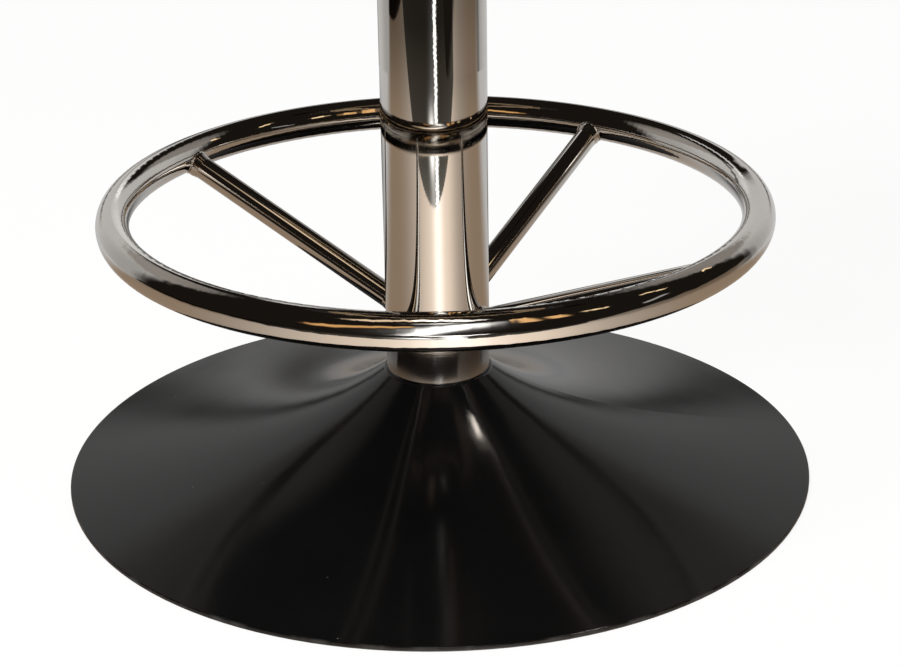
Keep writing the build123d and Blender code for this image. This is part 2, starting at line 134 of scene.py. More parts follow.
def enclosed(mesh):
    """Volume inside a mesh: a sixth of the sum of a . (b x c) over its triangles."""
    mesh.calc_loop_triangles()
    corners = np.empty(3 * len(mesh.loop_triangles), dtype=np.int32)
    mesh.loop_triangles.foreach_get("vertices", corners)
    a, b, c = np.moveaxis(vertices_of(mesh)[corners.reshape(-1, 3)], 1, 0)
    return np.sum(a * np.cross(b, c)) / 6


def vertices_of(mesh):
    """The vertices of a mesh as an array of points."""
    flat = np.empty(3 * len(mesh.vertices), dtype=np.float32)
    mesh.vertices.foreach_get("co", flat)
    return flat.reshape(-1, 3)


def linked(name, mesh):
    """A new object that shows a mesh."""
    made = bpy.data.objects.new(name, mesh)
    bpy.context.scene.collection.objects.link(made)
    return made


# %% [markdown]
# ## Shader nodes in a few words
# A finish is a small graph of nodes, and wiring each one by hand takes three lines. These helpers add a
# node, link the sockets that are fed by another node and set the rest, so that a finish reads as a short
# list of steps.

# %% Node helpers


def add(tree, kind, feeds, output=0, **settings):
    """One node with its settings and inputs; gives back the output socket that the next node reads."""
    node = tree.nodes.new(kind)
    for name, value in settings.items():
        setattr(node, name, value)
    for socket, value in feeds.items():
        if isinstance(value, bpy.types.NodeSocket):
            tree.links.new(value, node.inputs[socket])
        else:
            node.inputs[socket].default_value = value
    return node.outputs[output]


def sums(tree, operation, a, b=0.0):
    """One step of arithmetic on two numbers."""
    return add(tree, "ShaderNodeMath", {0: a, 1: b}, operation=operation)


def vary(tree, value, low, high, start, end):
    """The value's stretch from low to high laid over start to end, held beyond both ends."""
    return add(tree, "ShaderNodeMapRange", {0: value, 1: low, 2: high, 3: start, 4: end})


def shade(tree, share, first, second):
    """First colour where share is 0, second where it is 1."""
    feeds = {0: share, 6: (*first, 1) if isinstance(first, tuple) else first}
    feeds[7] = (*second, 1) if isinstance(second, tuple) else second
    return add(tree, "ShaderNodeMix", feeds, output=2, data_type="RGBA")


# %% Pattern helpers


def grain(tree, place, size, detail=2.0):
    """Soft random pattern whose blobs are about size metres across."""
    return add(tree, "ShaderNodeTexNoise", {"Vector": place, "Scale": 1 / size, "Detail": detail})


def pebbles(tree, place, size, feature="F1"):
    """Distance to scattered points about size metres apart, in units of that size."""
    feeds = {"Vector": place, "Scale": 1 / size}
    return add(tree, "ShaderNodeTexVoronoi", feeds, feature=feature)


def stretched(tree, place, scale):
    """Coordinates multiplied along each axis."""
    return add(tree, "ShaderNodeVectorMath", {0: place, 1: scale}, operation="MULTIPLY")


def relief(tree, shader, height, depth, below=None):
    """Bump of a height between 0 and 1, depth metres deep, on top of an earlier bump."""
    feeds = {"Height": height, "Distance": depth}
    if below is not None:
        feeds["Normal"] = below
    normal = add(tree, "ShaderNodeBump", feeds)
    tree.links.new(normal, shader.inputs["Normal"])
    return normal


# %% Round pattern helpers


def radius_of(tree, place):
    """Distance of a point from the column's axis."""
    level = stretched(tree, place, (1, 1, 0))
    return add(tree, "ShaderNodeVectorMath", {0: level}, output="Value", operation="LENGTH")


def height_of(tree, place):
    """Height of a point above the floor."""
    return add(tree, "ShaderNodeSeparateXYZ", {0: place}, output=2)


def lathe_lines(tree, place, drift=0.004):
    """Coordinates (r + drift cos, drift sin, z) that hardly change round the column: noise becomes rings."""
    level = stretched(tree, place, (1, 1, 0))
    outward = add(tree, "ShaderNodeVectorMath", {0: level}, operation="NORMALIZE")
    round_part = stretched(tree, outward, (drift, drift, 0))
    straight_part = {0: radius_of(tree, place), 2: height_of(tree, place)}
    ring_part = add(tree, "ShaderNodeCombineXYZ", straight_part)
    return add(tree, "ShaderNodeVectorMath", {0: round_part, 1: ring_part}, operation="ADD")


# %% Finish helpers
FINISHES = {}


def new_finish(name, **sockets):
    """Material with one Principled shader that holds the even values; gives tree, shader and place."""
    material = bpy.data.materials.new(name)
    material.use_nodes = True
    tree = material.node_tree
    shader = tree.nodes["Principled BSDF"]
    for socket, value in sockets.items():
        shader.inputs[socket.replace("_", " ").title().replace("Ior", "IOR")].default_value = value
    FINISHES[name] = material
    return tree, shader, tree.nodes.new("ShaderNodeTexCoord").outputs["Object"]


def feed(tree, shader, **sockets):
    """Link node outputs to the shader's sockets of those names."""
    for socket, value in sockets.items():
        tree.links.new(value, shader.inputs[socket.replace("_", " ").title()])


NOISE_LOW, NOISE_HIGH = 0.3, 0.7  # most of a noise lies between these


def grained(name, tree, shader, colour, fine, rough, depth):
    """Colour, and a fine pattern that drives both the roughness, between two values, and the bump."""
    feed(tree, shader, base_color=colour, roughness=vary(tree, fine, NOISE_LOW, NOISE_HIGH, *rough))
    relief(tree, shader, fine, depth)
    print(name, "of", len(tree.nodes), "nodes")


# %% [markdown]
# ## What the polished steel sees
# Mirror steel has almost no colour of its own: it shows the studio. Here that is a sheet of paper on the
# floor, a round wall that is white behind the stool and dark in front of it, a dark ceiling, and a few
# lamps. Pictures of a room could be wrapped round the scene, but a few written-down shapes are enough, and
# each can be changed by itself. Every board carries its light as a colour worked out from position. Only
# glossy rays see it, so the boards never light or tint the rest of the stool.

# %% Studio helpers


def ease(value, start, end):
    """Smooth step from 0 at start to 1 at end: 3 s^2 - 2 s^3."""
    share = np.clip((value - start) / (end - start), 0, 1)
    return share * share * (3 - 2 * share)


def bell(value, centre, width, height=1):
    """Soft hump: its height times e to the minus square of the distance from the centre over the width."""
    return height * np.exp(-(((value - centre) / width) ** 2))


def coloured(mesh, colours):
    """Store a colour for every vertex of a studio board, or one for all."""
    layer = mesh.color_attributes.new("board_light", "FLOAT_COLOR", "POINT")
    filled = np.ones((len(mesh.vertices), 4), dtype=np.float32)
    filled[:, :3] = np.reshape(colours, (-1, 3))
    layer.data.foreach_set("color", filled.ravel())


def board_material(name):
    """Material that glows with the stored colour; gives the material, its tree and the glow's output."""
    material = bpy.data.materials.new(name)
    material.use_nodes = True
    material.cycles.emission_sampling = "NONE"
    tree = material.node_tree
    tree.nodes.remove(tree.nodes["Principled BSDF"])
    stored = add(tree, "ShaderNodeAttribute", {}, attribute_name="board_light")
    return material, tree, add(tree, "ShaderNodeEmission", {"Color": stored})


# %% [markdown]
# ## The floor
# The stool stands on a wide sheet of pale paper that ends in front of it, and past its edge the floor is
# dark. The camera sees plain white with the stool's shadow, but the steel mirrors the glow of the paper:
# warm, brightest towards the lens, with a dark oval where the stool's shadow falls behind it. Lamps could
# paint that light on the paper, but they would light the stool too, so it is worked out from the angle and
# the distance of each point.

# %% Paper and its light
PAPER_LEFT, PAPER_RIGHT, PAPER_FRONT = -1.235, 1.225, -0.59
PAPER_LEAN, PAPER_BOW = 0.10, 0.18
PAPER_WARM, SIDE_WARM = np.array([1, 0.84, 0.70]), np.array([1, 0.74, 0.53])
PAST_EDGE, DARK_FLOOR = np.array([0.17, 0.17, 0.15]), np.array([0.040, 0.033, 0.026])
BESIDE_PAPER, BEHIND_STOOL, EVEN_GLOW = 0.03, 0.66, 0.36
FLASH_ASIDE = 4.5
# Humps by the angle from the lens: centre and width in degrees, and height.
LENS_GLOW, RIGHT_GLOW, FLASH_ON_PAPER = (0, 42, 0.85), (26, 14, 0.22), (FLASH_ASIDE, 10, 0.75)
DARK_STRIP, FLASH_PAST_EDGE, FLASH_SPOT = (-4, 4, 0.6), (-2, 6, 0.5), (-5, 5, 2.6)
# Humps by the distance in metres.
SHADOW_ACROSS, SHADOW_BEHIND, SPOT_PAST_EDGE = (-0.12, 0.26, 0.85), (0.68, 0.26), (0.19, 0.08)


def paper_front(x):
    """Front edge of the paper: level on the left, and on the right nearer the lens by lean x + bow x^2."""
    x = np.clip(x, 0, PAPER_RIGHT)
    return PAPER_FRONT - PAPER_LEAN * x - PAPER_BOW * x**2


# %% Glow of the floor


def paper_light(x, y, angle, far):
    """Glow of the paper: humps about the lens, warmer aside, weaker far off; white with a shadow behind."""
    level = EVEN_GLOW + bell(angle, *LENS_GLOW) + bell(angle, *RIGHT_GLOW)
    level = level * (1 - 0.6 * ease(far, 0.75, 1.25))
    aside = ease(np.abs(angle), 50, 85)
    paper = level * (PAPER_WARM * (1 - aside) + SIDE_WARM * aside) + bell(angle, *FLASH_ON_PAPER)
    behind = ease(y, 0.15, 0.45)[..., None]
    shadow = 1 - (bell(x, *SHADOW_ACROSS) * bell(y, *SHADOW_BEHIND))[..., None]
    return paper * (1 - behind) + BEHIND_STOOL * behind * shadow


def past_paper_light(past, angle, far):
    """Glow of the floor past the paper: dark, with a soft edge, a darker strip and the flash's spill."""
    dark = PAST_EDGE * np.exp(-past / 0.13) * bell(angle, 0, 35)
    dark = dark + DARK_FLOOR * (1 - 0.5 * ease(far, 0.95, 1.25))
    dark = dark * (1 - bell(angle, *DARK_STRIP) * ease(past, 0.15, 0.30))
    dark = dark + bell(angle, *FLASH_PAST_EDGE) * np.exp(-past / 0.30)
    return dark + bell(angle, *FLASH_SPOT) * bell(past, *SPOT_PAST_EDGE)


def floor_light(x, y):
    """Glow of the floor: that of the paper up to its front edge, that of the dark floor past it."""
    angle = np.degrees(np.arctan2(x, -y))[..., None]
    far = np.hypot(x, y)[..., None]
    past = np.maximum(paper_front(x) - y, 0)[..., None]
    on_paper = (y > paper_front(x))[..., None]
    light = np.where(on_paper, paper_light(x, y, angle, far), past_paper_light(past, angle, far))
    within = (x > PAPER_LEFT) & (x < PAPER_RIGHT)
    return light * np.where(within, 1, BESIDE_PAPER)[..., None]


print("paper", round(PAPER_RIGHT - PAPER_LEFT, 2), "m wide, front edge", -PAPER_FRONT, "m from the column")

# %% [markdown]
# The sheet itself is a flat grid. An even grid would need millions of faces for a sharp paper edge, so its
# lines crowd together near the stool, lie close on both sides of each edge, and bend with the front one.
# From below the sheet is clear, so that the stool's underside can be looked at.

# %% Floor sheet
FLOOR_REACH, FLOOR_FAR, FLOOR_DROP, EDGE_GAP = 6, 40, -0.0002, 0.003


def sheet_lines(first, last, count, edges):
    """Grid lines of one direction: coarse over the reach, fine from first to last, doubled at edges."""
    doubled = np.add.outer(edges, [-EDGE_GAP, EDGE_GAP]).ravel()
    coarse, fine = np.linspace(-FLOOR_REACH, FLOOR_REACH, 81), np.linspace(first, last, count)
    return np.unique(np.round(np.concatenate([coarse, fine, doubled, [-FLOOR_FAR, FLOOR_FAR]]), 4))


lines_x = sheet_lines(-1.1, 1.1, 111, [PAPER_LEFT, PAPER_RIGHT])
lines_y = sheet_lines(-1.5, 1.1, 131, [PAPER_FRONT])
floor_x, floor_y = np.meshgrid(lines_x, lines_y)
near_edge = 1 - ease(np.abs(floor_y - PAPER_FRONT), 0.2, 1.0)
floor_y = floor_y + (paper_front(floor_x) - PAPER_FRONT) * near_edge
floor_points = turned(np.stack([floor_x, floor_y, np.full_like(floor_x, FLOOR_DROP)], axis=-1))
floor_mesh = grid_mesh("floor", floor_points, wrap_columns=False)
floor_mesh.flip_normals()  # the helper turns an open sheet below zero face down
coloured(floor_mesh, floor_light(floor_x, floor_y))
print("floor of", len(floor_mesh.polygons), "faces")

# %% Floor paint
WHITE_SEEN, SHADOW_SHARE = 1.04, 0.14
floor_paint, tree, glow = board_material("floor_paper")
paths = tree.nodes.new("ShaderNodeLightPath").outputs
matt = add(tree, "ShaderNodeBsdfDiffuse", {"Color": (0.86, 0.85, 0.83, 1)})
white = add(tree, "ShaderNodeEmission", {"Color": (1, 1, 1, 1), "Strength": WHITE_SEEN})
seen = add(tree, "ShaderNodeMixShader", {0: SHADOW_SHARE, 1: white, 2: matt})
straight = sums(tree, "MAXIMUM", paths["Is Camera Ray"], paths["Is Transmission Ray"])
plain = add(tree, "ShaderNodeMixShader", {0: straight, 1: matt, 2: seen})
upper = add(tree, "ShaderNodeMixShader", {0: paths["Is Glossy Ray"], 1: plain, 2: glow})
from_below = add(tree, "ShaderNodeNewGeometry", {}, output="Backfacing")
clear = add(tree, "ShaderNodeBsdfTransparent", {})
surface = add(tree, "ShaderNodeMixShader", {0: from_below, 1: upper, 2: clear})
tree.links.new(surface, tree.nodes["Material Output"].inputs["Surface"])
floor_mesh.materials.append(floor_paint)
floor = linked("floor", floor_mesh)
print("floor_paper of", len(tree.nodes), "nodes")

# %% [markdown]
# ## The wall
# Behind the stool the paper runs up a white wall, and in front of it the room is dark, with a few warm
# lamps and the flash over the lens. Flat boards in a row would show their gaps in the ring, which mirrors
# every direction, so the wall is one round drum. On it a place is an azimuth in degrees, 0 behind the stool
# and positive to the right, and a height in metres, and each thing in the room is a soft-edged patch or
# strip.

# %% Wall helpers
WALL_RADIUS = 1.0


def tube(places, start, end, half_width):
    """Strip between two places: e to the minus fourth power of the distance to its line over its width."""
    run = end - start
    share = np.clip((places - start) @ run / (run @ run), 0, 1)
    gap = np.linalg.norm(places - start - share[..., None] * run, axis=-1)
    return np.exp(-((gap / half_width) ** 4))


def dome(azimuth, height, centre, half):
    """Oval patch with a soft rim: 1 inside, falling to 0 about its edge."""
    across, upwards = (azimuth - centre[0]) / half[0], (height - centre[1]) / half[1]
    return 1 - ease(np.hypot(across, upwards), 0.8, 1.15)


def flat_place(azimuth, height):
    """Place on the unrolled wall in metres: radius times angle, and height."""
    around = WALL_RADIUS * np.radians(azimuth)
    return np.stack([around, np.broadcast_to(height, np.shape(azimuth))], axis=-1)


def strips(places, place_of, lamps):
    """Light of all lamps that are strips: each one's strip times its colour, added up."""
    return sum(
        tube(places, place_of(*start), place_of(*end), half_width)[..., None] * np.array(colour)
        for start, end, half_width, colour in lamps
    )


# %% White foot and grey ovals of the wall
WALL_WHITE, WALL_GREY = np.array([1, 0.99, 0.98]), np.array([1, 0.93, 0.87])
LEFT_OVAL, RIGHT_OVAL = ((-52, 0.63), (27, 0.85)), ((42, 0.63), (26, 0.75))
CREASE_SHADE_HEIGHT, CREASE_SHADE_WIDTH = 0.225, 0.045


def white_foot(azimuth, height):
    """Brightness of the white wall: a sector behind the stool, a lighter spot, painted shade in a crease, a
    painted shadow.
    """
    sides = np.abs(azimuth)
    sector = ease(azimuth, -86, -74) * (1 - ease(azimuth, 62, 74)) * (1 - 0.27 * ease(sides, 40, 70))
    rise = 0.12 * ease(sides, 10, 30)
    foot = 0.64 * sector * (1 - ease(height, 0.56 + rise / 2, 0.66 + rise))
    foot = foot + 0.22 * bell(azimuth, -9, 6) * bell(height, 0.42, 0.14)
    # Painted shade: a dark band along the crease where paper meets wall, fading out towards the sides.
    crease = 0.92 * (1 - ease(sides, 33, 48))
    foot = foot * (1 - crease * bell(height, CREASE_SHADE_HEIGHT, CREASE_SHADE_WIDTH))
    # Painted shadow: the stool's shadow from the flash, dark at the wall's foot just left of behind the
    # stool.
    return foot * (1 - 0.8 * bell(azimuth, -12, 8) * (1 - ease(height, 0.06, 0.14)))


def grey_above(azimuth, height):
    """Brightness of two grey ovals above the white foot, weaker towards their tops."""
    grey = 0.36 * dome(azimuth, height, *LEFT_OVAL) + 0.30 * dome(azimuth, height, *RIGHT_OVAL)
    return grey * ease(height, 0.60, 0.80) * (1 - 0.45 * ease(height, 0.9, 1.5))


def lifted_paper(azimuth, height):
    """Share of the floor's glow on the wall's foot at the right, where the paper's side curls up."""
    lift = 0.21 * (1 - ease(azimuth, 115, 155))
    curl = ease(azimuth, 68, 78) * (1 - ease(height, lift - 0.05, lift + 0.01))
    return curl * (1 - 0.3 * ease(height, 0, 0.1))


print("white foot", round(float(white_foot(0.0, 0.4)), 2), "bright behind the stool")

# %% Lamps of the wall
DARK_ROOM = np.array([0.013, 0.010, 0.008])
ORANGE, AMBER, WARM = (1.0, 0.54, 0.20), (1.15, 0.66, 0.28), (1.6, 1.2, 0.7)
PALE, DIM = (0.8, 0.8, 0.8), (0.5, 0.5, 0.5)
# Start, end, half width and colour of each strip.
WALL_LAMPS = (
    ((-168, 0.92), (-146, 0.55), 0.090, ORANGE),
    ((141, 0.82), (139, 1.10), 0.060, AMBER),
    ((151, 0.80), (147, 1.50), 0.060, AMBER),
    ((126, 0.90), (126, 1.00), 0.060, WARM),
    ((94, 1.00), (92, 1.28), 0.030, WARM),
    ((64, 0.98), (70, 0.88), 0.025, WARM),
    ((108, 0.55), (116, 0.44), 0.030, DIM),
    ((-8, 0.62), (-13.5, 1.00), 0.060, PALE),
)
ROD_FOOT, ROD_TOP, ROD_HALF_WIDTH, ROD_DARKNESS = (-17, 0.2), (-28, 1.15), 0.035, 0.85
FLASH_LEAN, FLASH_MIDDLE, FLASH_HALF_HEIGHT = 19, 0.64, 0.58


# %% Glow of the wall


def flash_light(azimuth, height):
    """The flash over the lens: a core that leans to the right as it rises, a haze and a glow above."""
    from_lens = azimuth % 360 - 180
    leaning = from_lens + FLASH_LEAN * (height - 0.5)
    spread = 3.9 + 4.0 * ease(height, 0.30, 0.75)
    core = bell(leaning, 0, spread, 3.4) * np.exp(-(((height - FLASH_MIDDLE) / FLASH_HALF_HEIGHT) ** 4))
    haze = bell(leaning, 0, 12, 0.30) * bell(height, 0.55, 0.25)
    return core + haze + bell(from_lens, 0, 7, 1.8) * ease(height, 1.2, 1.7)


def wall_light(azimuth, height):
    """Glow of the round wall: foot, ovals and lifted paper, a dark rod before them, then lamps and flash."""
    turn = np.radians(azimuth)
    light = DARK_ROOM + white_foot(azimuth, height)[..., None] * WALL_WHITE
    light = light + grey_above(azimuth, height)[..., None] * WALL_GREY
    light = light + lifted_paper(azimuth, height)[..., None] * floor_light(np.sin(turn), np.cos(turn))
    places = flat_place(azimuth, height)
    rod = tube(places, flat_place(*ROD_FOOT), flat_place(*ROD_TOP), ROD_HALF_WIDTH)
    light = light * (1 - ROD_DARKNESS * rod)[..., None] + strips(places, flat_place, WALL_LAMPS)
    return light + flash_light(azimuth, height)[..., None]


print(len(WALL_LAMPS), "lamps on the wall")

# %% Boards that only mirrors see
room_paint, tree, glow = board_material("room_glow")
tree.links.new(glow, tree.nodes["Material Output"].inputs["Surface"])


def mirror_board(name, points, light, **closing):
    """Board of the studio that glows with its own light and is seen by glossy rays only."""
    mesh = grid_mesh(name, turned(points), **closing)
    coloured(mesh, light)
    mesh.materials.append(room_paint)
    board = linked(name, mesh)
    board.visible_camera = board.visible_diffuse = board.visible_shadow = False
    board.visible_transmission = board.visible_volume_scatter = False
    print(name, "of", len(mesh.polygons), "faces")
    return board


# %% Wall
WALL_TOP, WALL_FOOT = 1.75, 0.12
azimuth, share = np.meshgrid(np.arange(-180, 180, 0.75), np.linspace(0, 1, 120))
lowest = WALL_FOOT * (ease(-azimuth, 72, 84) + ease(azimuth, 152, 160))
wall_height = lowest + share * (WALL_TOP - lowest)
turn = np.radians(azimuth)
wall_points = np.stack([WALL_RADIUS * np.sin(turn), WALL_RADIUS * np.cos(turn), wall_height], axis=-1)
mirror_board("wall", wall_points, wall_light(azimuth, wall_height))

# %% [markdown]
# ## The ceiling
# The top of the ring and the front of the base mirror what is overhead: a dark ceiling with two tube lamps.
# A flat board would end somewhere, and its edge would show, so the ceiling is a wide half ball. On a ball a
# lamp is a strip between two directions, and the same strip function serves.

# %% Ceiling
CEILING_RADIUS = 6.0
# Start and end as azimuth and elevation, half width on the unit ball, and colour.
CEILING_LAMPS = (
    ((-138, 68), (-172, 80), 0.080, (1.25, 0.95, 0.66)),
    ((-172, 80), (162, 71), 0.070, (2.3, 2.2, 2.1)),
)


def facing(azimuth, elevation):
    """Direction on the unit ball: (cos e sin a, cos e cos a, sin e), with a = 0 behind the stool."""
    turn, lift = np.radians(azimuth), np.radians(elevation)
    level = np.cos(lift)
    return np.stack([level * np.sin(turn), level * np.cos(turn), np.sin(lift)], axis=-1)


ceiling_points = facing(*np.meshgrid(np.arange(-180, 180, 1.0), np.linspace(-2, 89.6, 140)))
ceiling_light = DARK_ROOM + strips(ceiling_points, facing, CEILING_LAMPS)
mirror_board("ceiling", CEILING_RADIUS * ceiling_points, ceiling_light, capped=True)

# %% [markdown]
# ## A lamp for the base alone
# The black base shows one small bright highlight to the right of the neck. A small, very bright board high
# on the right gives it. The same board would also flash on the spokes, where none belongs, so it is linked
# to the base cover only: Blender then hides its light from every other piece.

# %% Reading lamp
LAMP_PLACE, LAMP_HALF_LENGTH, LAMP_HALF_WIDTH = np.array([0.600, 0.288, 1.700]), 0.09, 0.045
LAMP_LIGHT = (90, 80, 70)
long_way, short_way = np.array([0.5, -0.866, 0]), np.array([0.80, 0.46, -0.38])
corners = np.array([[[-1, -1], [-1, 1]], [[1, -1], [1, 1]]])
lamp_points = LAMP_PLACE + corners @ np.stack([LAMP_HALF_LENGTH * long_way, LAMP_HALF_WIDTH * short_way])
reading_lamp = mirror_board("reading_lamp", lamp_points, LAMP_LIGHT, wrap_columns=False)
lamp_shines_on = bpy.data.collections.new("lamp_shines_on")
lamp_shines_on.objects.link(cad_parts["base_cover"])
reading_lamp.light_linking.receiver_collection = lamp_shines_on
print("lamp board", 2 * LAMP_HALF_LENGTH, "by", 2 * LAMP_HALF_WIDTH, "m")

# %% [markdown]
# ## The flash on the paper
# Down the column's middle runs a thin, bright, jagged line: the flash on the paper, mirrored in a tube
# whose buffing marks break it up. Relief that is finer than a pixel would only blur it. A bright strip on
# the floor that sways from side to side like a saw blade gives the line its teeth, and it widens far from
# the stool.

# %% Flash glow on the paper
GLOW_NEAR, GLOW_FAR, GLOW_TEETH = 0.585, 3.0, 145
GLOW_HALF, GLOW_SWAY, GLOW_WIDENING = 2.8, 2.6, 8
GLOW_LIFT, GLOW_LIGHT = 0.001, (2.2, 2.2, 2.2)


def flash_glow():
    """Strip towards the lens at a steady angle and half angle, its line swaying from tooth to tooth."""
    away = np.geomspace(GLOW_NEAR, GLOW_FAR, GLOW_TEETH)
    draw = np.random.default_rng(7)
    sides = np.where(np.arange(GLOW_TEETH) % 2, 1, -1)
    sway = GLOW_SWAY * draw.uniform(0.3, 1.0, GLOW_TEETH) * sides
    half = (GLOW_HALF + GLOW_WIDENING * ease(away, 1.35, 1.7)) * draw.uniform(0.75, 1.1, GLOW_TEETH)
    angle = np.radians(FLASH_ASIDE + sway[:, None] + half[:, None] * np.array([-1, 0, 1]))
    across, down = away[:, None] * np.sin(angle), -away[:, None] * np.cos(angle)
    return np.stack([across, down, np.full_like(across, GLOW_LIFT)], axis=-1)


mirror_board("flash_glow", flash_glow(), GLOW_LIGHT, wrap_columns=False)
print("glow strip with", GLOW_TEETH, "teeth,", 2 * GLOW_HALF, "degrees wide")

# %% [markdown]
# ## Light
# The stool itself is lit plainly: a large soft lamp high on the left, a weaker one on the right and an even
# white surround. One sun would be simpler, but its hard shadows belong outdoors. The levels are kept low
# enough that a pale surface facing the lamp comes out about as bright as its written colour.

# %% Lamps
LAMPS_AIM = (0, 0, 0.4)


def area_lamp(name, place, size, power, colour=(1, 1, 1)):
    """Square lamp at a place of the studio, facing the aim point, itself seen by neither lens nor mirror."""
    data = bpy.data.lights.new(name, "AREA")
    data.size, data.energy, data.color = size, power, colour
    lamp = linked(name, data)
    towards = Vector((turned(LAMPS_AIM) - turned(place)).tolist())
    rotation = towards.to_track_quat("-Z", "Y").to_matrix().to_4x4()
    lamp.matrix_world = Matrix.Translation(turned(place).tolist()) @ rotation
    lamp.visible_camera = lamp.visible_glossy = False


area_lamp("key_lamp", place=(-1.2, -1.3, 2.4), size=1.2, power=50)
area_lamp("fill_lamp", place=(1.8, -0.6, 1.6), size=1.4, power=9, colour=(1, 0.95, 0.9))

# %% Surround
SURROUND_LIGHT, SURROUND_SEEN = 0.42, 1.0
world = bpy.data.worlds.new("surround")
bpy.context.scene.world = world
world.use_nodes = True
tree = world.node_tree
paths = tree.nodes.new("ShaderNodeLightPath").outputs
direct = sums(tree, "MAXIMUM", paths["Is Camera Ray"], paths["Is Transmission Ray"])
direct = sums(tree, "MAXIMUM", direct, paths["Is Glossy Ray"])
strength = vary(tree, direct, 0, 1, SURROUND_LIGHT, SURROUND_SEEN)
tree.links.new(strength, tree.nodes["Background"].inputs["Strength"])
tree.nodes["Background"].inputs["Color"].default_value = (1, 1, 1, 1)
print("surround lights at", SURROUND_LIGHT, "and is seen at", SURROUND_SEEN)

# %% [markdown]
# ## Polished steel
# The column and the ring are tube and the spokes are bar, all of steel that is ground and then buffed to a
# mirror. Buffing leaves fine rings that blur a reflection a little up and down, and a slow waviness that
# makes straight edges wander. A flat metal value would look like glass, so the roughness and the bump
# follow rings of noise, with faint cloudy patches where hands and shoes have dulled the polish. The wheel
# doesn't reach the column's foot, which is left as it was ground.

# %% Polished steel
GROUND_UP_TO, POLISHED_FROM = 0.095, 0.112
tree, steel, place = new_finish("polished_steel", metallic=1.0)
rings = lathe_lines(tree, place)
fine = grain(tree, rings, 0.0011, 3)
cloud = grain(tree, place, 0.035, 3)
wave = grain(tree, place, 0.09, 1)
colour = shade(tree, cloud, (0.665, 0.64, 0.605), (0.625, 0.60, 0.565))
rings_rough = vary(tree, fine, NOISE_LOW, NOISE_HIGH, 0.015, 0.035)
rough = sums(tree, "ADD", rings_rough, vary(tree, cloud, 0.5, 0.75, 0, 0.04))
height = height_of(tree, place)
unpolished = vary(tree, height, GROUND_UP_TO, POLISHED_FROM, 0.035, 0)
feed(tree, steel, base_color=colour, roughness=sums(tree, "ADD", rough, unpolished))
hair_lines = grain(tree, lathe_lines(tree, place, 0.0008), 0.0004, 2)
as_ground = sums(tree, "MULTIPLY", hair_lines, vary(tree, height, GROUND_UP_TO, POLISHED_FROM, 1, 0))
waviness = relief(tree, steel, wave, 0.00012)
buffed = relief(tree, steel, fine, 0.0000012, waviness)
relief(tree, steel, as_ground, 0.000005, buffed)
print("polished_steel of", len(tree.nodes), "nodes")

# %% [markdown]
# ## Black enamel
# The trumpet base is spun steel, sprayed black and baked to a satin gloss. Sprayed paint dries with a fine
# orange peel, dust settles on it as tiny pale specks, and shoes leave dull smears, so those three drive
# colour, roughness and bump. The paint is thinnest on the rim, where it wears to grey.

# %% Black enamel
WEAR_FROM, COVER_RIM = 0.2528, 0.2541
tree, enamel, place = new_finish("black_enamel", specular_ior_level=0.24)
smear = grain(tree, place, 0.07, 4)
peel = grain(tree, place, 0.0018, 1)
speck = pebbles(tree, place, 0.011)
speck_here = grain(tree, place, 0.03, 2)
dust = sums(tree, "MULTIPLY", vary(tree, speck, 0.02, 0.05, 1, 0), vary(tree, speck_here, 0.5, 0.6, 0, 1))
rim = vary(tree, radius_of(tree, place), WEAR_FROM, COVER_RIM, 0, 1)
rim_wear = sums(tree, "MULTIPLY", rim, vary(tree, grain(tree, place, 0.02, 4), 0.45, 0.7, 0, 0.6))
paint = shade(tree, smear, (0.0032, 0.0032, 0.0034), (0.0056, 0.0053, 0.0052))
paint = shade(tree, dust, paint, (0.16, 0.15, 0.14))
paint = shade(tree, rim_wear, paint, (0.11, 0.105, 0.10))
rough = sums(tree, "ADD", vary(tree, smear, 0.35, 0.7, 0.10, 0.15), sums(tree, "MULTIPLY", dust, 0.3))
feed(tree, enamel, base_color=paint, roughness=rough)
relief(tree, enamel, peel, 0.000006)
print("black_enamel of", len(tree.nodes), "nodes")

# %% [markdown]
# ## Bare and hidden metals
# Under the cover sit a cast weight, zinc-plated rods, nuts and washers, and in the column's head a hardened
# bearing. They are seldom seen, and one grey would do, but each has its own look: cast iron is coarse and
# rusty in its pores, zinc shows cloudy patches, and ground bearing steel has fine rings. A noise or two of
# the right size gives each.

# %% Cast iron
tree, iron, place = new_finish("cast_iron", metallic=0.55)
sand = grain(tree, place, 0.0022, 4)
rust = grain(tree, place, 0.028, 5)
colour = shade(tree, vary(tree, rust, 0.48, 0.72, 0, 0.8), (0.075, 0.072, 0.07), (0.15, 0.062, 0.028))
grained("cast_iron", tree, iron, colour, sand, rough=(0.62, 0.88), depth=0.0003)

# %% Bright zinc
tree, zinc, place = new_finish("bright_steel", metallic=1.0)
spangle = grain(tree, place, 0.006, 3)
scuff = grain(tree, stretched(tree, place, (1, 1, 6)), 0.002, 2)
colour = shade(tree, spangle, (0.56, 0.56, 0.55), (0.47, 0.48, 0.50))
feed(tree, zinc, base_color=colour, roughness=vary(tree, spangle, NOISE_LOW, NOISE_HIGH, 0.24, 0.42))
relief(tree, zinc, scuff, 0.00001)
print("bright_steel of", len(tree.nodes), "nodes")

# %% Bearing steel
tree, hard, place = new_finish("bearing_steel", metallic=1.0)
ground = grain(tree, lathe_lines(tree, place), 0.0005, 2)
oil = grain(tree, place, 0.006, 3)
colour = shade(tree, oil, (0.60, 0.60, 0.60), (0.46, 0.44, 0.40))
grained("bearing_steel", tree, hard, colour, ground, rough=(0.12, 0.24), depth=0.000002)

# %% [markdown]
# ## Rubber, trim, nylon and plywood
# The stool stands on a moulded rubber ring, a thin black trim closes the gap between the cover and the
# floor, the spindle turns in a nylon bush, and the seat is built on birch plywood. Moulded pieces get a
# fine speckle and dull gloss; the plywood gets long grain on its faces and dark glue lines between its
# plies.

